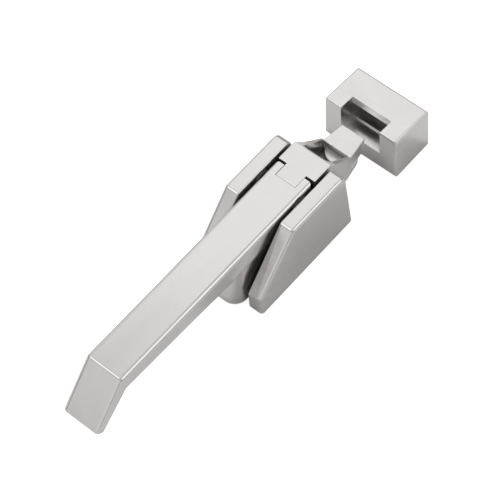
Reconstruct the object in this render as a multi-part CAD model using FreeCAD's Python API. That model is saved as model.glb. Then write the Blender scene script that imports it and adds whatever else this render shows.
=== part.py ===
"""Compression lever latch in polished cast stainless steel, with its keeper.

Millimetres, +Z up, +Y from the handle towards the keeper. The origin is the centre of the four
fixing holes under the housing, on its mounting plane. Writes one STEP file per piece to parts/.
"""
import FreeCAD, Part
import math
import os

from FreeCAD import Vector

# ---- housing ---------------------------------------------------------------------------------
HOUSING_WIDTH = 45.0
CHANNEL_WIDTH = 27.2          # between the two cheeks
HOUSING_HEIGHT = 45.0
HOUSING_HALF_LENGTH = 36.65   # at the mounting plane
CHEEK_NOSE_HEIGHT = 13.5      # upright end face below the sloping edge
CHEEK_TOP_FRONT_Y = -9.15
CHEEK_TOP_BACK_Y = 32.4
CHEEK_ROUND = 2.0             # outer outline
CHEEK_INNER_ROUND = 0.8
CHEEK_BACK_ROUND = 4.0        # upper back corner, seen from the side
CHEEK_CORNER_ROUND = 2.2      # the other corners, seen from the side
FACET_TOP_INSET = 1.2         # inner facet ground on the sloping edge: its crease starts this far
FACET_LOW_INSET = 2.9         # from the inner face and ends this far from the outer face
FACET_DROP = 1.2              # depth of the facet at its inner lower corner
FLOOR_THICKNESS = 5.0
FLOOR_FRONT_Y = -16.0
FLOOR_BACK_Y = 34.0

# ---- fixings ---------------------------------------------------------------------------------
MOUNT_SPACING_X = 36.0
MOUNT_SPACING_Y = 34.0
M6_TAPPED_RADIUS = 2.5
MOUNT_HOLE_DEPTH = 12.0

# ---- pivots ----------------------------------------------------------------------------------
LEVER_PIVOT = (7.5, 38.8)     # (y, z)
HOOK_PIVOT = (26.5, 30.0)
LEVER_PIN_RADIUS = 3.5
HOOK_PIN_RADIUS = 4.0
PIN_BLIND_WALL = 3.0          # metal left outside the blind end of each pin bore
PIN_END_GAP = 0.2             # between a pin and the bottom of its bore
PIN_CHAMFER = 0.4
RUNNING_GAP = 0.05            # radial clearance where a piece turns on a pin
SEAT_GAP = 0.01               # radial clearance where a pin is held
GRUB_RADIUS = 2.0             # M4
GRUB_LENGTH = 6.0
GRUB_SOCKET_RADIUS = 1.15     # over the corners of the hexagon
GRUB_SOCKET_DEPTH = 2.0

# ---- lever -----------------------------------------------------------------------------------
LEVER_TOP_Z = 45.2
LEVER_WIDTH = 23.4
LEVER_ROUND = 2.3             # along both sides
BEND_ROUND = 1.5              # over the crease where the grip turns down
GRIP_END_ROUND = 1.4
ROOT_FOOT_ROUND = 1.5
TINE_TIP_Y = 18.55
BEND_Y = -124.85              # where the grip turns down
GRIP_TIP = (-146.65, 20.0)
GRIP_TIP_UNDER = (-142.35, 16.2)
GRIP_INNER_CORNER = (-122.8, 33.8)
UNDERSIDE_MID = (-84.0, 32.0)
UNDERSIDE_ROOT = (-55.0, 30.2)
ROOT_WIDTH = 22.0             # deep web under the lever, between the cheeks
ROOT_FRONT_Y = -42.85
ROOT_BACK_Y = -17.5
ROOT_CORNER = 8.0
ROOT_BOTTOM_Z = 0.5
ROOT_TOP_Z = 42.0             # the web ends inside the bar
ROOT_END_Y = 13.55
ROOT_FLOOR_GAP = 2.0          # over the floor of the housing
ROOT_CLIMB = [(-8.0, FLOOR_THICKNESS + ROOT_FLOOR_GAP), (0.0, 29.0)]   # underside, up to the pivot
TINE_UNDERSIDE_Z = 31.0
CAVITY_WIDTH = 14.6           # hollow of the root, where the hook's tail works
CAVITY_FRONT_Y = -34.0
CAVITY_TOP_Z = 40.3
CAVITY_FRONT_HEIGHT = 24.0    # of its front wall, below a sloping roof
CAVITY_ROOF_Y = -16.0         # where the roof levels out
SLOT_WIDTH = 13.2             # slot in the top of the lever for the hook's tongue
SLOT_END_Y = 11.15
LEVER_BOSS_RADIUS = 11.0
LEVER_BOSS_TOP_Z = 43.2

# ---- cam pin and roller ----------------------------------------------------------------------
CAM_CENTRE = (-2.0, 32.0)
CAM_PIN_RADIUS = 2.0
ROLLER_RADIUS = 3.5
ROLLER_LENGTH = 12.0
ROLLER_EDGE_ROUND = 0.4
ROLLER_GAP = 0.15             # between roller and tail at rest

# ---- hook ------------------------------------------------------------------------------------
HOOK_TOP_Z = 45.0
TONGUE_WIDTH = 12.56
TONGUE_END_Y = 11.45
TONGUE_UNDERCUT = 2.9         # how far the tongue's end leans back over its depth
TONGUE_DEPTH = 5.0
SHOULDER_Y = 20.25
CROSSBAR_WIDTH = 23.8
CROSSBAR_FRONT_Y = 32.9
HUB_RADIUS = 9.5
PLATE_UNDERSIDE_Z = 37.5
ARM_BACK_Y = 32.7
ARM_BACK_LOW_Z = 22.0
LUG_CENTRE_Y = 54.25
LUG_RADIUS = 9.4
LUG_BOTTOM_Z = 12.5
LUG_TOP_Z = 17.5
LUG_FLAT_Y = (43.0, 49.0)     # level part of the underside
LUG_END_RISE = 4.2            # from there up to the round end
POCKET_BACK_Y = 34.4
POCKET_CORNER_ROUND = 2.5
POCKET_END_RADIUS = 8.4       # also half the width of the pocket
RIM_LINE = [(37.65, 39.3), (43.95, 34.0), (50.95, 28.8)]   # (y, z) down the arm's rims
PAD_Z = CAM_CENTRE[1] - ROLLER_RADIUS - ROLLER_GAP   # flat that the roller bears on
PAD_END_Y = 1.0
PAD_RELIEF = (3.0, PAD_Z - 0.8)
TAIL_TIP_Y = -8.0
TAIL_TIP_DEPTH = 6.0
TAIL_HEEL = (12.0, 19.5)
TAIL_NECK = [(10.0, PAD_Z - 0.8), (14.0, PAD_Z + 2.2)]
WEB_BACK_Y = 16.0
WEB_BACK_Z = (33.8, 38.8)     # upright stretch that passes behind the lever pin
WEB_END_Y = 37.5              # inside the arm
WEB_END_Z = (18.0, 38.0)
WEB_HEEL = (28.5, 20.7)       # under the hub
HOOK_ROUND = 0.6

# ---- nose piece ------------------------------------------------------------------------------
NOSE_DISC_RADIUS = 7.8
NOSE_DISC_TOP_Z = 21.8
NOSE_TOP_Z = 26.8
NOSE_REAR_Y = 51.75           # top rear edge, which overhangs the boss
NOSE_REAR_LEAN = 0.6
NOSE_TIP_Y = 66.25
NOSE_REAR_WIDTH = 18.5
NOSE_TIP_WIDTH = 14.6
NOSE_TIP_LEAN = 4.2
NOSE_ROUND = 0.6              # round the top of the block
NOSE_DISC_ROUND = 0.4
M5_RADIUS = 2.5
M5_HEAD_RADIUS = 4.6
M5_CONE = 2.1
M5_HEAD_Z = 14.4
M5_HOLE_TOP_Z = 21.0          # end of the blind tapped hole in the nose piece
M5_END_GAP = 0.5
M5_CLEARANCE = 0.1            # radial, in the hook
M5_SOCKET_RADIUS = 1.7
M5_SOCKET_DEPTH = 1.6

# ---- return springs and washers --------------------------------------------------------------
WIRE_RADIUS = 0.65
COIL_RADIUS = 5.1
COIL_PITCH = 1.32
COIL_TURNS = 2.75
TAIL_LEG = 20.0
TAIL_LEG_SLOPE = 16.5         # degrees
LEG_BEND = 1.5
LEG_HOOK = 3.5
FLOOR_LEG = 23.6
SPRING_GAP = 0.1
HOOK_WASHER_THICKNESS = 1.2
WASHER_RIM = 2.4              # how far a washer stands out beyond its pin

# ---- keeper ----------------------------------------------------------------------------------
KEEPER_BASE_WIDTH = 48.4
KEEPER_TOP_WIDTH = 47.0       # the sides have casting draft
KEEPER_FRONT_Y = 71.25
KEEPER_LENGTH = 27.9
KEEPER_FRONT_HEIGHT = 30.6
KEEPER_BACK_HEIGHT = 27.9
KEEPER_ROUND = 1.5            # round the top
KEEPER_CORNER_ROUND = 1.0     # upright corners
NOTCH_WIDTH = 25.7
NOTCH_DEPTH = 10.0
NOTCH_FLOOR_Z = 12.2
SLOT_LOW_Z = 13.5
SLOT_HIGH_Z = 24.2
SLOT_REACH = 9.0              # how far the undercut runs in behind the notch
KEEPER_HOLE_SPACING = 32.0
KEEPER_HOLE_Y = 85.2

OVERCUT = 1.0                 # how far a cutting solid runs past the surface it cuts
BEYOND = 60.0                 # outside every piece that it is used on, for the ends of cuts
SAME_PLACE = 1e-4             # tolerance for finding edges by their place


# ---- helpers ---------------------------------------------------------------------------------
def profile(points, x_from, x_to):
    """Solid with a (y, z) outline, between two x planes."""
    corners = [Vector(x_from, y, z) for y, z in points]
    face = Part.Face(Part.makePolygon(corners + corners[:1]))
    return face.extrude(Vector(x_to - x_from, 0, 0))


def mid_profile(points, width):
    """Solid with a (y, z) outline, centred on the plane x = 0."""
    return profile(points, -width / 2, width / 2)


def plan(points, z_from, z_to):
    """Solid with an (x, y) outline, between two levels."""
    corners = [Vector(x, y, z_from) for x, y in points]
    face = Part.Face(Part.makePolygon(corners + corners[:1]))
    return face.extrude(Vector(0, 0, z_to - z_from))


def box(x, y, z):
    """Block between pairs of x, y and z limits."""
    return Part.makeBox(x[1] - x[0], y[1] - y[0], z[1] - z[0], Vector(x[0], y[0], z[0]))


def across(radius, centre, x_from, x_to):
    """Cylinder along X about a (y, z) centre."""
    return Part.makeCylinder(radius, x_to - x_from, Vector(x_from, *centre), Vector(1, 0, 0))


def upright(radius, x, y, z_from, z_to):
    """Cylinder along Z."""
    return Part.makeCylinder(radius, z_to - z_from, Vector(x, y, z_from))


def hexagon(radius, x, y, z_from, z_to):
    """Upright hexagonal prism, for the socket of a screw."""
    angles = [math.radians(60 * i) for i in range(6)]
    return plan([(x + radius * math.cos(a), y + radius * math.sin(a)) for a in angles], z_from, z_to)


def bore(radius, centre):
    """Long cylinder along X about a (y, z) centre, for cutting a through hole."""
    return across(radius, centre, -BEYOND, BEYOND)


def closed_edges(shape):
    """The circular edges of a pin or roller."""
    return [edge for edge in shape.Edges if edge.Closed]


def edges_where(shape, test):
    """The shape's edges whose every end satisfies a test of its point."""
    return [edge for edge in shape.Edges if all(test(v.Point) for v in edge.Vertexes)]


def near(value, target):
    return abs(value - target) < SAME_PLACE


def side_edges(shape, half_width):
    """The outlines of the shape's left and right faces."""
    return (edges_where(shape, lambda p: near(p.x, half_width))
            + edges_where(shape, lambda p: near(p.x, -half_width)))


def cross_edges(shape, corner):
    """Edges along X through a (y, z) corner."""
    return edges_where(shape, lambda p: near(p.y, corner[0]) and near(p.z, corner[1]))


def raised_edges(shape, x):
    """The outline of the face at x, without its edge on the mounting plane."""
    return [edge for edge in edges_where(shape, lambda p: near(p.x, x))
            if any(v.Point.z > OVERCUT for v in edge.Vertexes)]


def mirrored(shape):
    """The left-hand twin of a right-hand piece."""
    return shape.mirror(Vector(0, 0, 0), Vector(1, 0, 0))


# ---- housing ---------------------------------------------------------------------------------
BORE_END_X = HOUSING_WIDTH / 2 - PIN_BLIND_WALL


def facet_cut(low, high):
    """Solid above a plane that tilts inwards off the sloping edge between two (y, z) corners."""
    inner, outer = CHANNEL_WIDTH / 2, HOUSING_WIDTH / 2
    down_slope = (Vector(0, *low) - Vector(0, *high)).normalize()
    off_slope = Vector(0, down_slope.z, -down_slope.y)
    crease_top = Vector(inner + FACET_TOP_INSET, *high)
    crease_low = Vector(outer - FACET_LOW_INSET, *low)
    inner_low = Vector(inner, *low) - off_slope * FACET_DROP
    along = (crease_low - crease_top).normalize()
    normal = along.cross(inner_low - crease_top).normalize()
    if normal.dot(off_slope) < 0:
        normal = normal * -1
    side = normal.cross(along) * BEYOND
    along = along * BEYOND
    corners = [crease_top + a + s for a, s in ((along, side), (-along, side), (-along, -side),
                                               (along, -side))]
    return Part.Face(Part.makePolygon(corners + corners[:1])).extrude(normal * BEYOND)


def cheek():
    """Right side plate, its outline rounded on both faces and open at the mounting plane."""
    outline = [(-HOUSING_HALF_LENGTH, 0), (-HOUSING_HALF_LENGTH, CHEEK_NOSE_HEIGHT),
               (CHEEK_TOP_FRONT_Y, HOUSING_HEIGHT), (CHEEK_TOP_BACK_Y, HOUSING_HEIGHT),
               (HOUSING_HALF_LENGTH, 0)]
    inner, outer = CHANNEL_WIDTH / 2, HOUSING_WIDTH / 2
    plate = profile(outline, inner, outer)
    plate = plate.makeFillet(CHEEK_BACK_ROUND, cross_edges(plate, outline[3]))
    plate = plate.makeFillet(CHEEK_CORNER_ROUND, cross_edges(plate, outline[1])
                             + cross_edges(plate, outline[2]))
    plate = plate.makeFillet(CHEEK_ROUND, raised_edges(plate, outer))
    plate = plate.cut(facet_cut(outline[1], outline[2]))
    return plate.makeFillet(CHEEK_INNER_ROUND, raised_edges(plate, inner))


def housing():
    inner = CHANNEL_WIDTH / 2
    floor = box((-inner, inner), (FLOOR_FRONT_Y, FLOOR_BACK_Y), (0, FLOOR_THICKNESS))
    right = cheek()
    body = right.fuse([mirrored(right), floor]).removeSplitter()
    for radius, centre in ((LEVER_PIN_RADIUS, LEVER_PIVOT), (HOOK_PIN_RADIUS, HOOK_PIVOT)):
        pin_hole = across(radius + SEAT_GAP, centre, -BEYOND, BORE_END_X)
        grub_hole = upright(GRUB_RADIUS, MOUNT_SPACING_X / 2, centre[0], -OVERCUT, centre[1])
        body = body.cut(pin_hole).cut(grub_hole)
    for x in (-MOUNT_SPACING_X / 2, MOUNT_SPACING_X / 2):
        for y in (-MOUNT_SPACING_Y / 2, MOUNT_SPACING_Y / 2):
            body = body.cut(upright(M6_TAPPED_RADIUS, x, y, -OVERCUT, MOUNT_HOLE_DEPTH))
    return body


def pivot_pin(radius, centre):
    """Plain pin, flush with the left cheek and blind in the right one."""
    pin = across(radius, centre, -HOUSING_WIDTH / 2, BORE_END_X - PIN_END_GAP)
    return pin.makeChamfer(PIN_CHAMFER, closed_edges(pin))


def grub_screw(radius, centre):
    """Hexagon socket set screw under a pin, standing against its underside."""
    x, y = MOUNT_SPACING_X / 2, centre[0]
    top = centre[1] - radius - SEAT_GAP
    screw = upright(GRUB_RADIUS, x, y, top - GRUB_LENGTH, top)
    bottom = top - GRUB_LENGTH
    return screw.cut(hexagon(GRUB_SOCKET_RADIUS, x, y, bottom - OVERCUT, bottom + GRUB_SOCKET_DEPTH))


# ---- lever -----------------------------------------------------------------------------------
def lever():
    bar = mid_profile([(TINE_TIP_Y, LEVER_TOP_Z), (BEND_Y, LEVER_TOP_Z), GRIP_TIP,
                       GRIP_TIP_UNDER, GRIP_INNER_CORNER, UNDERSIDE_MID, UNDERSIDE_ROOT,
                       (TINE_TIP_Y, TINE_UNDERSIDE_Z)], LEVER_WIDTH)
    bar = bar.makeFillet(BEND_ROUND, cross_edges(bar, (BEND_Y, LEVER_TOP_Z)))
    bar = bar.makeFillet(GRIP_END_ROUND,
                         cross_edges(bar, GRIP_TIP) + cross_edges(bar, GRIP_TIP_UNDER))
    bar = bar.makeFillet(LEVER_ROUND, side_edges(bar, LEVER_WIDTH / 2))

    half = ROOT_WIDTH / 2
    root = mid_profile([(ROOT_FRONT_Y, ROOT_BOTTOM_Z), (ROOT_BACK_Y, ROOT_BOTTOM_Z),
                        (ROOT_BACK_Y, FLOOR_THICKNESS + ROOT_FLOOR_GAP)] + ROOT_CLIMB
                       + [(ROOT_END_Y, TINE_UNDERSIDE_Z), (ROOT_END_Y, ROOT_TOP_Z),
                          (ROOT_FRONT_Y, ROOT_TOP_Z)], ROOT_WIDTH)
    footprint = box((-half, half), (ROOT_FRONT_Y, BEYOND), (-OVERCUT, BEYOND))
    corners = [edge for edge in footprint.Edges
               if all(near(v.Point.y, ROOT_FRONT_Y) for v in edge.Vertexes)
               and near(edge.Vertexes[0].Point.x, edge.Vertexes[1].Point.x)]
    root = root.common(footprint.makeFillet(ROOT_CORNER, corners))
    foot_end_y = ROOT_FRONT_Y + ROOT_CORNER + OVERCUT
    foot = edges_where(root, lambda p: near(p.z, ROOT_BOTTOM_Z) and p.y < foot_end_y)
    root = root.makeFillet(ROOT_FOOT_ROUND, foot)
    boss = across(LEVER_BOSS_RADIUS, LEVER_PIVOT, -half, half)
    boss = boss.common(box((-half, half), (-BEYOND, BEYOND), (0, LEVER_BOSS_TOP_Z)))
    body = bar.fuse([root, boss])

    cavity = mid_profile([(CAVITY_FRONT_Y, -OVERCUT), (CAVITY_FRONT_Y, CAVITY_FRONT_HEIGHT),
                          (CAVITY_ROOF_Y, CAVITY_TOP_Z), (BEYOND, CAVITY_TOP_Z),
                          (BEYOND, -OVERCUT)], CAVITY_WIDTH)
    slot = box((-SLOT_WIDTH / 2, SLOT_WIDTH / 2), (SLOT_END_Y, BEYOND), (0, BEYOND))
    body = body.cut(cavity).cut(slot)
    body = body.cut(bore(LEVER_PIN_RADIUS + RUNNING_GAP, LEVER_PIVOT))
    return body.cut(bore(CAM_PIN_RADIUS + SEAT_GAP, CAM_CENTRE))


def cam_pin():
    pin = across(CAM_PIN_RADIUS, CAM_CENTRE, -ROOT_WIDTH / 2, ROOT_WIDTH / 2)
    return pin.makeChamfer(PIN_CHAMFER, closed_edges(pin))


def cam_roller():
    half = ROLLER_LENGTH / 2
    roller = across(ROLLER_RADIUS, CAM_CENTRE, -half, half)
    roller = roller.makeFillet(ROLLER_EDGE_ROUND, closed_edges(roller))
    return roller.cut(bore(CAM_PIN_RADIUS + RUNNING_GAP, CAM_CENTRE))


# ---- hook ------------------------------------------------------------------------------------
def hook_spine():
    """Central web: tongue on top, hub round the pivot, tail running forward under the lever pin."""
    low, high = WEB_END_Z
    under_hub = [(WEB_END_Y, high), (WEB_END_Y, low), WEB_HEEL, TAIL_HEEL]
    tail = [(TAIL_TIP_Y, PAD_Z - TAIL_TIP_DEPTH), (TAIL_TIP_Y, PAD_Z), (PAD_END_Y, PAD_Z), PAD_RELIEF]
    back = [(WEB_BACK_Y, z) for z in WEB_BACK_Z]
    tongue_root = (TONGUE_END_Y + TONGUE_UNDERCUT, HOOK_TOP_Z - TONGUE_DEPTH)
    web = mid_profile([(TONGUE_END_Y, HOOK_TOP_Z), (CROSSBAR_FRONT_Y, HOOK_TOP_Z)] + under_hub + tail
                      + TAIL_NECK + back + [tongue_root], TONGUE_WIDTH)
    half = TONGUE_WIDTH / 2
    return web.fuse(across(HUB_RADIUS, HOOK_PIVOT, -half, half))


def hook_arm():
    """Crossbar and the wide arm that slopes down to the round lug, tapered in plan."""
    wide = CROSSBAR_WIDTH / 2
    lug_end_y = LUG_CENTRE_Y + LUG_RADIUS
    lug = [(NOSE_REAR_Y, RIM_LINE[-1][1]), (NOSE_REAR_Y, LUG_TOP_Z), (lug_end_y + OVERCUT, LUG_TOP_Z),
           (lug_end_y, LUG_BOTTOM_Z + LUG_END_RISE), (LUG_FLAT_Y[1], LUG_BOTTOM_Z),
           (LUG_FLAT_Y[0], LUG_BOTTOM_Z)]
    plate = [(ARM_BACK_Y, ARM_BACK_LOW_Z), (ARM_BACK_Y, PLATE_UNDERSIDE_Z),
             (SHOULDER_Y, PLATE_UNDERSIDE_Z)]
    arm = mid_profile([(SHOULDER_Y, HOOK_TOP_Z), (CROSSBAR_FRONT_Y, HOOK_TOP_Z)] + RIM_LINE
                      + lug + plate, CROSSBAR_WIDTH)
    outline = plan([(-wide, SHOULDER_Y), (wide, SHOULDER_Y), (wide, CROSSBAR_FRONT_Y),
                    (LUG_RADIUS, LUG_CENTRE_Y), (-LUG_RADIUS, LUG_CENTRE_Y),
                    (-wide, CROSSBAR_FRONT_Y)], 0, BEYOND)
    round_end = upright(LUG_RADIUS, 0, LUG_CENTRE_Y, 0, BEYOND)
    arm = arm.common(outline.fuse(round_end))
    sides = edges_where(arm, lambda p: near(abs(p.x), wide) and near(p.z, HOOK_TOP_Z))
    sides = [edge for edge in sides if edge.Length < CROSSBAR_WIDTH]
    return arm.makeFillet(HOOK_ROUND, sides)


def pocket():
    """Straight-sided well behind the crossbar, with a round end for the boss of the nose piece."""
    half = POCKET_END_RADIUS
    well = box((-half, half), (POCKET_BACK_Y, LUG_CENTRE_Y), (LUG_TOP_Z, BEYOND))
    back_corners = [edge for edge in edges_where(well, lambda p: near(p.y, POCKET_BACK_Y))
                    if near(edge.Vertexes[0].Point.x, edge.Vertexes[1].Point.x)]
    well = well.makeFillet(POCKET_CORNER_ROUND, back_corners)
    return well.fuse(upright(half, 0, LUG_CENTRE_Y, LUG_TOP_Z, BEYOND))


def hook():
    body = hook_spine().fuse(hook_arm()).cut(pocket())
    body = body.cut(bore(HOOK_PIN_RADIUS + RUNNING_GAP, HOOK_PIVOT))
    shank, head = M5_RADIUS + M5_CLEARANCE, M5_HEAD_RADIUS + M5_CLEARANCE
    body = body.cut(upright(shank, 0, LUG_CENTRE_Y, 0, BEYOND))
    body = body.cut(upright(head, 0, LUG_CENTRE_Y, 0, M5_HEAD_Z))
    seat = Part.makeCone(head, shank, M5_CONE, Vector(0, LUG_CENTRE_Y, M5_HEAD_Z))
    return body.cut(seat).removeSplitter()


def nose_piece():
    """Bevelled striker block on a round boss that fills the end of the hook's pocket."""
    seat_z = LUG_TOP_Z + SEAT_GAP
    disc = upright(NOSE_DISC_RADIUS, 0, LUG_CENTRE_Y, seat_z, NOSE_DISC_TOP_Z)
    disc = disc.makeFillet(NOSE_DISC_ROUND,
                           edges_where(disc, lambda p: near(p.z, NOSE_DISC_TOP_Z))[:1])
    base_y = NOSE_REAR_Y + NOSE_REAR_LEAN
    block = mid_profile([(base_y, seat_z), (base_y, NOSE_DISC_TOP_Z), (NOSE_REAR_Y, NOSE_TOP_Z),
                         (NOSE_TIP_Y, NOSE_TOP_Z), (NOSE_TIP_Y - NOSE_TIP_LEAN, seat_z)],
                        NOSE_REAR_WIDTH)
    rear, tip = NOSE_REAR_WIDTH / 2, NOSE_TIP_WIDTH / 2
    block = block.common(plan([(-rear, NOSE_REAR_Y), (rear, NOSE_REAR_Y), (tip, NOSE_TIP_Y),
                               (-tip, NOSE_TIP_Y)], 0, BEYOND))
    block = block.makeFillet(NOSE_ROUND, edges_where(block, lambda p: near(p.z, NOSE_TOP_Z)))
    return disc.fuse(block).cut(upright(M5_RADIUS + SEAT_GAP, 0, LUG_CENTRE_Y, 0, M5_HOLE_TOP_Z))


def nose_screw():
    """Countersunk hexagon socket screw that holds the nose piece from below."""
    y = LUG_CENTRE_Y
    shank = upright(M5_RADIUS, 0, y, M5_HEAD_Z + M5_CONE, M5_HOLE_TOP_Z - M5_END_GAP)
    head = Part.makeCone(M5_HEAD_RADIUS, M5_RADIUS, M5_CONE, Vector(0, y, M5_HEAD_Z))
    socket = hexagon(M5_SOCKET_RADIUS, 0, y, M5_HEAD_Z - OVERCUT, M5_HEAD_Z + M5_SOCKET_DEPTH)
    return head.fuse(shank).removeSplitter().cut(socket)


# ---- small parts on the pins -----------------------------------------------------------------
def washer(pin_radius, centre, low_x, high_x):
    disc = across(pin_radius + WASHER_RIM, centre, low_x, high_x)
    return disc.cut(across(pin_radius + RUNNING_GAP, centre, low_x - OVERCUT, high_x + OVERCUT))


def lever_washer():
    low = LEVER_WIDTH / 2 + RUNNING_GAP
    return washer(LEVER_PIN_RADIUS, LEVER_PIVOT, low, CHANNEL_WIDTH / 2 - RUNNING_GAP)


def hook_washer():
    high = CHANNEL_WIDTH / 2 - RUNNING_GAP
    return washer(HOOK_PIN_RADIUS, HOOK_PIVOT, high - HOOK_WASHER_THICKNESS, high)


def return_spring():
    """Right-hand torsion spring: one leg hooked under the tail, the other down on the floor."""
    coil = Part.makeHelix(COIL_PITCH, COIL_PITCH * COIL_TURNS, COIL_RADIUS).Edges[0]
    start, end = coil.valueAt(coil.FirstParameter), coil.valueAt(coil.LastParameter)
    along = coil.tangentAt(coil.FirstParameter)
    elbow = start - along * TAIL_LEG
    inward = Vector(0, 0, -1)
    inward = (inward - along * inward.dot(along)).normalize()
    corner = elbow + inward * LEG_BEND
    half_turn = math.sqrt(0.5) * LEG_BEND
    bend = Part.Arc(corner - along * LEG_BEND, corner - along * half_turn - inward * half_turn, elbow)
    tip = corner - along * LEG_BEND + inward * LEG_HOOK
    path = Part.Wire([Part.makeLine(tip, corner - along * LEG_BEND), bend.toShape(),
                      Part.makeLine(elbow, start), coil,
                      Part.makeLine(end, end + coil.tangentAt(coil.LastParameter) * FLOOR_LEG)])
    section = Part.Wire(Part.makeCircle(WIRE_RADIUS, tip, inward))
    wire = path.makePipeShell([section], True, True)

    # local Z lies along X; local X and Y turn in the (y, z) plane so that the tail leg slopes down
    slope = math.radians(TAIL_LEG_SLOPE)
    across_leg = Vector(0, math.sin(slope), -math.cos(slope))
    along_leg = Vector(0, math.cos(slope), math.sin(slope))
    start_x = TONGUE_WIDTH / 2 + WIRE_RADIUS + TAIL_LEG * math.tan(math.asin(along.z)) + SPRING_GAP
    wire.Placement = FreeCAD.Placement(FreeCAD.Matrix(
        0, 0, 1, start_x,
        across_leg.y, along_leg.y, 0, HOOK_PIVOT[0],
        across_leg.z, along_leg.z, 0, HOOK_PIVOT[1],
        0, 0, 0, 1))
    return wire


# ---- keeper ----------------------------------------------------------------------------------
def keeper():
    back_y = KEEPER_FRONT_Y + KEEPER_LENGTH
    block = mid_profile([(KEEPER_FRONT_Y, 0), (KEEPER_FRONT_Y, KEEPER_FRONT_HEIGHT),
                         (back_y, KEEPER_BACK_HEIGHT), (back_y, 0)], KEEPER_BASE_WIDTH)
    base, top = KEEPER_BASE_WIDTH / 2, KEEPER_TOP_WIDTH / 2
    end_view = [Vector(x, KEEPER_FRONT_Y, z) for x, z in
                ((-base, 0), (base, 0), (top, KEEPER_FRONT_HEIGHT), (-top, KEEPER_FRONT_HEIGHT))]
    drafted = Part.Face(Part.makePolygon(end_view + end_view[:1])).extrude(Vector(0, KEEPER_LENGTH, 0))
    block = block.common(drafted)
    upright_edges = [edge for edge in block.Edges
                     if abs(edge.Vertexes[0].Point.z - edge.Vertexes[-1].Point.z) > NOTCH_FLOOR_Z]
    block = block.makeFillet(KEEPER_CORNER_ROUND, upright_edges)
    block = block.makeFillet(KEEPER_ROUND, edges_where(block, lambda p: p.z > NOTCH_FLOOR_Z
                                                       and not near(p.z, 0)))
    notch = box((-NOTCH_WIDTH / 2, NOTCH_WIDTH / 2),
                (KEEPER_FRONT_Y - OVERCUT, KEEPER_FRONT_Y + NOTCH_DEPTH), (NOTCH_FLOOR_Z, BEYOND))
    undercut = box((-NOTCH_WIDTH / 2, NOTCH_WIDTH / 2),
                   (KEEPER_FRONT_Y, KEEPER_FRONT_Y + NOTCH_DEPTH + SLOT_REACH),
                   (SLOT_LOW_Z, SLOT_HIGH_Z))
    block = block.cut(notch).cut(undercut)
    for x in (-KEEPER_HOLE_SPACING / 2, KEEPER_HOLE_SPACING / 2):
        block = block.cut(upright(M6_TAPPED_RADIUS, x, KEEPER_HOLE_Y, -OVERCUT, MOUNT_HOLE_DEPTH))
    return block


PIECES = {
    "housing": housing(),
    "lever": lever(),
    "hook": hook(),
    "nose_piece": nose_piece(),
    "nose_screw": nose_screw(),
    "lever_pivot_pin": pivot_pin(LEVER_PIN_RADIUS, LEVER_PIVOT),
    "hook_pivot_pin": pivot_pin(HOOK_PIN_RADIUS, HOOK_PIVOT),
    "lever_pin_set_screw": grub_screw(LEVER_PIN_RADIUS, LEVER_PIVOT),
    "hook_pin_set_screw": grub_screw(HOOK_PIN_RADIUS, HOOK_PIVOT),
    "cam_pin": cam_pin(),
    "cam_roller": cam_roller(),
    "keeper": keeper(),
}
for stem, shape in (("lever_washer", lever_washer()), ("hook_washer", hook_washer()),
                    ("return_spring", return_spring())):
    PIECES[stem + "_right"] = shape
    PIECES[stem + "_left"] = mirrored(shape)

os.makedirs("parts", exist_ok=True)
for name, shape in PIECES.items():
    shape.exportStep(f"parts/{name}.step")
    print(f"{name}: {len(shape.Solids)} solid, {shape.Volume / 1000:.2f} cm3, valid {shape.isValid()}")
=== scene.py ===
"""Looks of the polished stainless lever latch: materials, studio light, floor and camera."""

import math

import bpy
from mathutils import Matrix, Vector


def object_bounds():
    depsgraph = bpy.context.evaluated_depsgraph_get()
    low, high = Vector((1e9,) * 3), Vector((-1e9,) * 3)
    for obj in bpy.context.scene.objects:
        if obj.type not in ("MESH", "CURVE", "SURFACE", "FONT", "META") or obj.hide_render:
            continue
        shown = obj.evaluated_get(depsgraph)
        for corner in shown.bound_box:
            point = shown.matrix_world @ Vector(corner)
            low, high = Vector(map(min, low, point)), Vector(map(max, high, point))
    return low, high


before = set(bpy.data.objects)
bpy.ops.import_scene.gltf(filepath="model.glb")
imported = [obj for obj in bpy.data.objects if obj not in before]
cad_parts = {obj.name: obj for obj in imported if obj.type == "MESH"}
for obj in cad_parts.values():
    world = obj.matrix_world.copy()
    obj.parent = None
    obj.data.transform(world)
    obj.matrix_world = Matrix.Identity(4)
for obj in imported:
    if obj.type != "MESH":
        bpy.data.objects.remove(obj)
cad_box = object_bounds()

MM = 0.001

# ---- camera: a long lens, high on the right, rolled a few degrees --------------------------------
CAMERA_PLACE = Vector((423.4, -446.2, 991.3)) * MM
CAMERA_AZIMUTH = math.radians(44.77)
CAMERA_ELEVATION = math.radians(58.29)
CAMERA_ROLL = math.radians(-5.49)
LENS_MM = 162.46
SENSOR_MM = 36.0
CLIP_NEAR = 0.05              # metres
CLIP_FAR = 20.0


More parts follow.
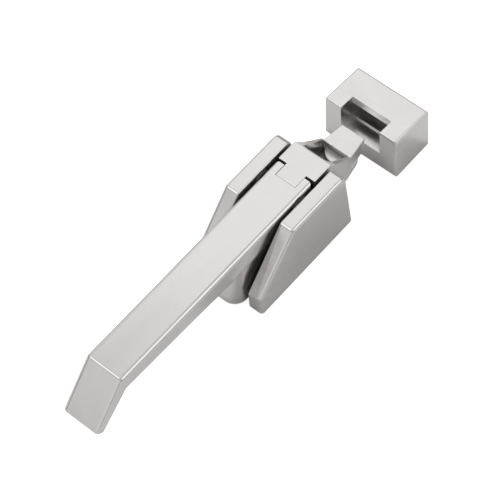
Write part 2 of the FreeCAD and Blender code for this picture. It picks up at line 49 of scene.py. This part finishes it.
def add_camera():
    data = bpy.data.cameras.new("camera")
    data.lens = LENS_MM
    data.sensor_width = SENSOR_MM
    data.sensor_fit = "AUTO"
    data.clip_start = CLIP_NEAR
    data.clip_end = CLIP_FAR
    camera = bpy.data.objects.new("camera", data)
    bpy.context.scene.collection.objects.link(camera)
    back = Vector((math.sin(CAMERA_AZIMUTH) * math.cos(CAMERA_ELEVATION),
                   -math.cos(CAMERA_AZIMUTH) * math.cos(CAMERA_ELEVATION),
                   math.sin(CAMERA_ELEVATION)))
    right = (-back).cross(Vector((0, 0, 1))).normalized()
    up = right.cross(-back)
    cos_roll, sin_roll = math.cos(CAMERA_ROLL), math.sin(CAMERA_ROLL)
    rolled_right = cos_roll * right + sin_roll * up
    rolled_up = cos_roll * up - sin_roll * right
    turn = Matrix((rolled_right, rolled_up, back)).transposed().to_4x4()
    camera.matrix_world = Matrix.Translation(CAMERA_PLACE) @ turn
    bpy.context.scene.camera = camera


# ---- node helpers --------------------------------------------------------------------------------
NOISE_SPAN = (0.3, 0.7)       # most of a noise pattern lies between these
FLAT_MATCH = 1.0              # cosine between the bevelled and the true normal on a flat
EDGE_MATCH = 0.86             # and where a bevelled normal counts as a full edge
BEVEL_SAMPLES = 6
REACH_SAMPLES = 8
MIX_FACTOR, MIX_FIRST, MIX_SECOND = 0, 6, 7      # colour inputs of a Mix node
MIX_RESULT = 2


def grey(level):
    return (level, level, level)


def stretch_along(axis, along, across):
    """Scales that draw a pattern out along one axis."""
    scales = [across, across, across]
    scales[axis] = along
    return tuple(scales)


def set_stops(ramp, stops):
    """Give a colour ramp node its (place, colour) stops."""
    band = ramp.color_ramp
    while len(band.elements) < len(stops):
        band.elements.new(0.5)
    for element, (place, colour) in zip(band.elements, stops):
        element.position = place
        element.color = (*colour, 1.0)


class Graph:
    """A material's node tree, with short calls that add and link nodes."""

    def __init__(self, name):
        self.material = bpy.data.materials.new(name)
        self.material.use_nodes = True
        self.tree = self.material.node_tree
        self.shader = self.tree.nodes["Principled BSDF"]
        self.place = self.add("ShaderNodeTexCoord").outputs["Object"]

    def add(self, kind, inputs=(), **settings):
        node = self.tree.nodes.new(kind)
        for key, value in settings.items():
            setattr(node, key, value)
        for key, value in dict(inputs).items():
            if isinstance(value, bpy.types.NodeSocket):
                self.tree.links.new(value, node.inputs[key])
            else:
                node.inputs[key].default_value = value
        return node

    def noise(self, scale, stretch=(1, 1, 1), detail=3.0, rough=0.55):
        """Noise with about this many cells in a metre, times a stretch on each axis."""
        place = self.add("ShaderNodeMapping", {"Vector": self.place, "Scale": stretch})
        return self.add("ShaderNodeTexNoise", {
            "Vector": place.outputs["Vector"], "Scale": scale, "Detail": detail,
            "Roughness": rough}).outputs["Fac"]

    def ranged(self, value, span, target):
        """Carry a value from one span to another, held at both ends."""
        return self.add("ShaderNodeMapRange", {
            "Value": value, "From Min": span[0], "From Max": span[1],
            "To Min": target[0], "To Max": target[1]}).outputs["Result"]

    def combine(self, operation, a, b):
        return self.add("ShaderNodeMath", {0: a, 1: b}, operation=operation).outputs[0]

    def colours(self, factor, stops):
        ramp = self.add("ShaderNodeValToRGB", {"Fac": factor})
        set_stops(ramp, stops)
        return ramp.outputs["Color"]

    def mix(self, factor, a, b):
        node = self.add("ShaderNodeMix", {MIX_FACTOR: factor}, data_type="RGBA")
        for key, value in ((MIX_FIRST, a), (MIX_SECOND, b)):
            if isinstance(value, bpy.types.NodeSocket):
                self.tree.links.new(value, node.inputs[key])
            else:
                node.inputs[key].default_value = (*value, 1.0)
        return node.outputs[MIX_RESULT]

    def edge_mask(self, radius):
        """1 on edges and tight corners, 0 on flats."""
        bevel = self.add("ShaderNodeBevel", {"Radius": radius}, samples=BEVEL_SAMPLES)
        flat = self.add("ShaderNodeNewGeometry").outputs["Normal"]
        match = self.add("ShaderNodeVectorMath", {0: bevel.outputs["Normal"], 1: flat},
                         operation="DOT_PRODUCT").outputs["Value"]
        return self.ranged(match, (FLAT_MATCH, EDGE_MATCH), (0.0, 1.0))

    def reach(self, distance, closed, clear):
        """0 where at most the closed share of the space around is free, 1 from the clear share."""
        free = self.add("ShaderNodeAmbientOcclusion", {"Distance": distance},
                        samples=REACH_SAMPLES)
        return self.ranged(free.outputs["AO"], (closed, clear), (0.0, 1.0))

    def bump(self, height, relief, below=None):
        """Normals of a relief, which is a strength and a depth."""
        strength, depth = relief
        inputs = {"Height": height, "Strength": strength, "Distance": depth}
        if below is not None:
            inputs["Normal"] = below
        return self.add("ShaderNodeBump", inputs).outputs["Normal"]

    def plug(self, key, value):
        if isinstance(value, bpy.types.NodeSocket):
            self.tree.links.new(value, self.shader.inputs[key])
        elif isinstance(value, tuple):
            self.shader.inputs[key].default_value = (*value, 1.0)
        else:
            self.shader.inputs[key].default_value = value

    def finish(self, pattern, roughness, relief):
        """Roughness between two values and a fine relief, both from one pattern."""
        self.plug("Roughness", self.ranged(pattern, NOISE_SPAN, roughness))
        self.plug("Normal", self.bump(pattern, relief))


# ---- polished castings ---------------------------------------------------------------------------
STEEL = (0.80, 0.778, 0.770)
SMEARED_STEEL = tuple(0.92 * share for share in STEEL)
# a lighter colour for edges: painted highlight, and wear
EDGE_HIGHLIGHT_AND_WEAR = (0.93, 0.92, 0.915)
# near-black for painted shade in deep pockets
POCKET_SHADE = (0.10, 0.095, 0.092)
ALONG_X, ALONG_Y = 0, 1       # polishing directions

# patterns: cells in a metre, and how each is drawn out along the polishing direction and across it
GRAIN_SCALE = 900.0
SCRATCH_SCALE = 2600.0
BUFFED_ALONG, BUFFED_ACROSS = 0.12, 2.5
WAVE_SCALE = 48.0
WAVE_ALONG, WAVE_ACROSS = 0.35, 1.0
PITTING_SCALE = 1500.0
SMEAR_SCALE = 34.0
SMEAR_STRETCH = (1.0, 0.6, 1.0)

# spans of the smears and the scratches over which colour and roughness change
SMEAR_DARK, SMEAR_CLEAN = 0.32, 0.62
SMEAR_POLISH_SPAN = (0.35, 0.70)
SMOOTHEST, ROUGHEST = 0.8, 1.4        # times a part's own roughness
SCRATCH_SPAN = (0.45, 0.75)
SCRATCH_ROUGHNESS = 0.06

# strength and depth of each relief
WAVE_RELIEF = (0.5, 0.45 * MM)
PITTING_RELIEF = (0.6, 0.20 * MM)
GRAIN_RELIEF = (0.10, 0.04 * MM)

# pockets and nooks, rougher where the buffing wheel misses them, with painted shade darkening the
# pockets' colour: distance looked over, free shares of the space, added roughness
POCKET_DISTANCE = 22.0 * MM
POCKET_CLOSED, POCKET_CLEAR = 0.05, 0.20
POCKET_ROUGHNESS = 0.25
NOOK_DISTANCE = 9.0 * MM
NOOK_CLOSED, NOOK_CLEAR = 0.35, 0.90
NOOK_ROUGHNESS = 0.28

# width of the edges lightened with painted highlight and wear
EDGE_HIGHLIGHT_WIDTH = 0.6 * MM
POLISH_ANISOTROPY = 0.35


def polished_steel(name, grain_axis, roughness):
    """Buffed cast stainless: polishing lines, soft casting waves, smears, and edges lightened in
    colour as painted highlight and wear.

    Deep pockets darken to near-black in colour as painted shade, and are rougher where the buffing
    wheel can't reach; narrow nooks are rougher too.
    """
    graph = Graph(name)
    buffed = stretch_along(grain_axis, BUFFED_ALONG, BUFFED_ACROSS)
    drawn_out = stretch_along(grain_axis, WAVE_ALONG, WAVE_ACROSS)
    grain = graph.noise(GRAIN_SCALE, buffed, detail=4.0)
    scratches = graph.noise(SCRATCH_SCALE, buffed, detail=2.0)
    waves = graph.noise(WAVE_SCALE, drawn_out, detail=1.5)
    pitting = graph.noise(PITTING_SCALE, detail=5.0)
    smears = graph.noise(SMEAR_SCALE, SMEAR_STRETCH, detail=4.0, rough=0.6)
    edges = graph.edge_mask(EDGE_HIGHLIGHT_WIDTH)
    pocket_openness = graph.reach(POCKET_DISTANCE, POCKET_CLOSED, POCKET_CLEAR)
    nook_reach = graph.reach(NOOK_DISTANCE, NOOK_CLOSED, NOOK_CLEAR)

    smear_tone = graph.colours(smears, [(SMEAR_DARK, SMEARED_STEEL), (SMEAR_CLEAN, STEEL)])
    # edges are lightened in colour: painted highlight, and wear
    highlit_and_worn = graph.mix(edges, smear_tone, EDGE_HIGHLIGHT_AND_WEAR)
    # deep pockets darken to near-black: painted shade
    graph.plug("Base Color", graph.mix(pocket_openness, POCKET_SHADE, highlit_and_worn))

    polish = graph.ranged(smears, SMEAR_POLISH_SPAN, (roughness * SMOOTHEST, roughness * ROUGHEST))
    lines = graph.ranged(scratches, SCRATCH_SPAN, (0.0, SCRATCH_ROUGHNESS))
    skin = graph.combine("ADD", graph.ranged(pocket_openness, (0.0, 1.0), (POCKET_ROUGHNESS, 0.0)),
                         graph.ranged(nook_reach, (0.0, 1.0), (NOOK_ROUGHNESS, 0.0)))
    graph.plug("Roughness", graph.combine("ADD", graph.combine("ADD", polish, lines), skin))
    graph.plug("Metallic", 1.0)
    graph.plug("Anisotropic", POLISH_ANISOTROPY)

    soft = graph.bump(waves, WAVE_RELIEF)
    rough_skin = graph.bump(graph.combine("MULTIPLY", pitting, skin), PITTING_RELIEF, below=soft)
    graph.plug("Normal", graph.bump(grain, GRAIN_RELIEF, below=rough_skin))
    return graph.material


# ---- small parts ---------------------------------------------------------------------------------
TOOL_MARK_RELIEF = (0.15, 0.03 * MM)
OXIDE_RELIEF = (0.2, 0.04 * MM)
RUBBED_OXIDE = (0.35, 0.34, 0.33)
RUBBED_OXIDE_WIDTH = 0.3 * MM
PIN_RINGS = (1.0, 0.05, 0.05)         # stretch that winds a pattern round the X axis
WASHER_RINGS = (1.0, 0.3, 0.3)

# colours of each material's patches, as (place in the noise, colour)
GROUND_TONES = ((0.3, grey(0.50)), (0.7, (0.68, 0.67, 0.66)))
OXIDE_TONES = ((0.35, (0.018, 0.018, 0.02)), (0.7, (0.06, 0.058, 0.056)))
WIRE_TONES = ((0.35, (0.36, 0.34, 0.31)), (0.7, (0.52, 0.49, 0.44)))
ACETAL_TONES = ((0.4, (0.012, 0.012, 0.013)), (0.8, (0.035, 0.035, 0.034)))


def ground_steel():
    """Centreless-ground pins and roller: rings round the axis."""
    graph = Graph("ground_pin_steel")
    graph.plug("Base Color", graph.colours(graph.noise(scale=180.0), GROUND_TONES))
    graph.plug("Metallic", 1.0)
    graph.finish(graph.noise(scale=4000.0, stretch=PIN_RINGS), (0.20, 0.36), TOOL_MARK_RELIEF)
    return graph.material


def blackened_steel():
    """Oxide-black screws, rubbed bright on their edges."""
    graph = Graph("black_oxide_screw")
    patches = graph.noise(scale=500.0, detail=4.0)
    oxide = graph.colours(patches, OXIDE_TONES)
    graph.plug("Base Color", graph.mix(graph.edge_mask(RUBBED_OXIDE_WIDTH), oxide, RUBBED_OXIDE))
    graph.plug("Metallic", 0.85)
    graph.finish(patches, (0.38, 0.55), OXIDE_RELIEF)
    return graph.material


def drawn_wire():
    """Spring wire with a finely marked skin and a straw tint from heat."""
    graph = Graph("drawn_spring_wire")
    graph.plug("Base Color", graph.colours(graph.noise(scale=90.0, detail=2.0), WIRE_TONES))
    graph.plug("Metallic", 1.0)
    graph.finish(graph.noise(scale=3000.0), (0.28, 0.42), TOOL_MARK_RELIEF)
    return graph.material


def dark_acetal():
    """Turned acetal washers: near-black, a waxy sheen and fine rings round the rim."""
    graph = Graph("dark_acetal")
    graph.plug("Base Color", graph.colours(graph.noise(scale=300.0, detail=5.0), ACETAL_TONES))
    graph.finish(graph.noise(scale=2500.0, stretch=WASHER_RINGS), (0.40, 0.58), TOOL_MARK_RELIEF)
    return graph.material


def dress_nodes():
    """One material for each CAD node, by what it is made of."""
    ground, black, wire, acetal = ground_steel(), blackened_steel(), drawn_wire(), dark_acetal()
    looks = {
        "housing": polished_steel("housing_steel", ALONG_Y, roughness=0.20),
        "lever": polished_steel("lever_steel", ALONG_Y, roughness=0.17),
        "hook": polished_steel("hook_steel", ALONG_X, roughness=0.19),
        "nose_piece": polished_steel("nose_steel", ALONG_X, roughness=0.22),
        "keeper": polished_steel("keeper_steel", ALONG_X, roughness=0.20),
        "lever_pivot_pin": ground, "hook_pivot_pin": ground, "cam_pin": ground,
        "cam_roller": ground,
        "lever_pin_set_screw": black, "hook_pin_set_screw": black, "nose_screw": black,
    }
    for side in ("left", "right"):
        looks["return_spring_" + side] = wire
        looks["lever_washer_" + side] = acetal
        looks["hook_washer_" + side] = acetal
    for node, material in looks.items():
        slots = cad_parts[node].data.materials
        slots.clear()
        slots.append(material)


# ---- floor ---------------------------------------------------------------------------------------
FLOOR_HALF = 1.5              # metres
FLOOR_DROP = 0.2 * MM
FLOOR_LIFT = 0.80             # glow that bleaches the floor to white where it is seen directly
PAPER_SCALE = 3.0
PAPER_TONES = ((0.2, grey(0.73)), (0.8, grey(0.75)))


def add_floor():
    """Pale paper just under the latch."""
    low, high = cad_box
    middle = (Vector(low) + Vector(high)) / 2
    z = low[2] - FLOOR_DROP
    mesh = bpy.data.meshes.new("floor")
    corners = [(middle.x + sx * FLOOR_HALF, middle.y + sy * FLOOR_HALF, z)
               for sx, sy in ((-1, -1), (1, -1), (1, 1), (-1, 1))]
    mesh.from_pydata(corners, [], [(0, 1, 2, 3)])
    floor = bpy.data.objects.new("floor", mesh)
    bpy.context.scene.collection.objects.link(floor)
    graph = Graph("floor")
    graph.plug("Base Color", graph.colours(graph.noise(PAPER_SCALE), PAPER_TONES))
    graph.plug("Roughness", 1.0)
    graph.plug("Specular IOR Level", 0.0)
    seen = graph.add("ShaderNodeLightPath").outputs["Is Camera Ray"]
    graph.plug("Emission Color", grey(1.0))
    graph.plug("Emission Strength", graph.combine("MULTIPLY", seen, FLOOR_LIFT))
    floor.data.materials.append(graph.material)


# ---- light and surroundings ----------------------------------------------------------------------
LAMP_DISTANCE = 2.0           # metres

# direction from the origin, width and height in metres, and brightness when seen in a mirror
SOFTBOXES = {
    "overhead": ((-0.33, 0.57, 0.75), (1.2, 1.2), 0.50),
    "right_bank": ((0.68, 0.40, 0.61), (1.4, 1.5), 0.75),
    "front_strip": ((0.08, -0.96, 0.27), (2.6, 0.6), 0.45),
    "crease_light": ((-0.37, -0.36, 0.85), (1.0, 1.4), 0.85),
    "left_bank": ((-0.78, 0.38, 0.50), (1.4, 1.0), 0.50),
}
SUN_HEADING = (-0.85, 0.25, 0.55)
SUN_STRENGTH = 1.4
SUN_SPREAD = math.radians(25.0)

# (height of the direction, brightness) from the horizon to overhead
ROOM_LEVELS = ((0.0, 0.30), (0.3, 0.36), (0.5, 0.42), (0.8, 0.52), (1.0, 0.62))


def add_softbox(name, heading, size, radiance):
    """Rectangular lamp facing the origin, as bright as asked when seen in a mirror."""
    data = bpy.data.lights.new(name, "AREA")
    data.shape = "RECTANGLE"
    data.size, data.size_y = size
    data.energy = radiance * math.pi * size[0] * size[1]
    lamp = bpy.data.objects.new(name, data)
    bpy.context.scene.collection.objects.link(lamp)
    lamp.location = Vector(heading).normalized() * LAMP_DISTANCE
    lamp.rotation_euler = (-lamp.location).to_track_quat("-Z", "Y").to_euler()


def add_sun():
    """Soft daylight that falls on the latch and isn't seen in its reflections."""
    data = bpy.data.lights.new("window", "SUN")
    data.energy = SUN_STRENGTH
    data.angle = SUN_SPREAD
    sun = bpy.data.objects.new("window", data)
    bpy.context.scene.collection.objects.link(sun)
    sun.rotation_euler = (-Vector(SUN_HEADING)).to_track_quat("-Z", "Y").to_euler()
    sun.visible_glossy = False


def add_world():
    """Soft grey room, about twice as bright overhead as at the horizon and below it."""
    world = bpy.data.worlds.new("studio")
    bpy.context.scene.world = world
    world.use_nodes = True
    tree = world.node_tree
    heading = tree.nodes.new("ShaderNodeTexCoord").outputs["Generated"]
    split = tree.nodes.new("ShaderNodeSeparateXYZ")
    ramp = tree.nodes.new("ShaderNodeValToRGB")
    set_stops(ramp, [(height, grey(level)) for height, level in ROOM_LEVELS])
    tree.links.new(heading, split.inputs[0])
    tree.links.new(split.outputs["Z"], ramp.inputs["Fac"])
    tree.links.new(ramp.outputs["Color"], tree.nodes["Background"].inputs["Color"])


add_camera()
dress_nodes()
add_floor()
add_world()
for lamp_name, (heading, size, radiance) in SOFTBOXES.items():
    add_softbox(lamp_name, heading, size, radiance)
add_sun()
bpy.context.scene.view_settings.view_transform = "Standard"
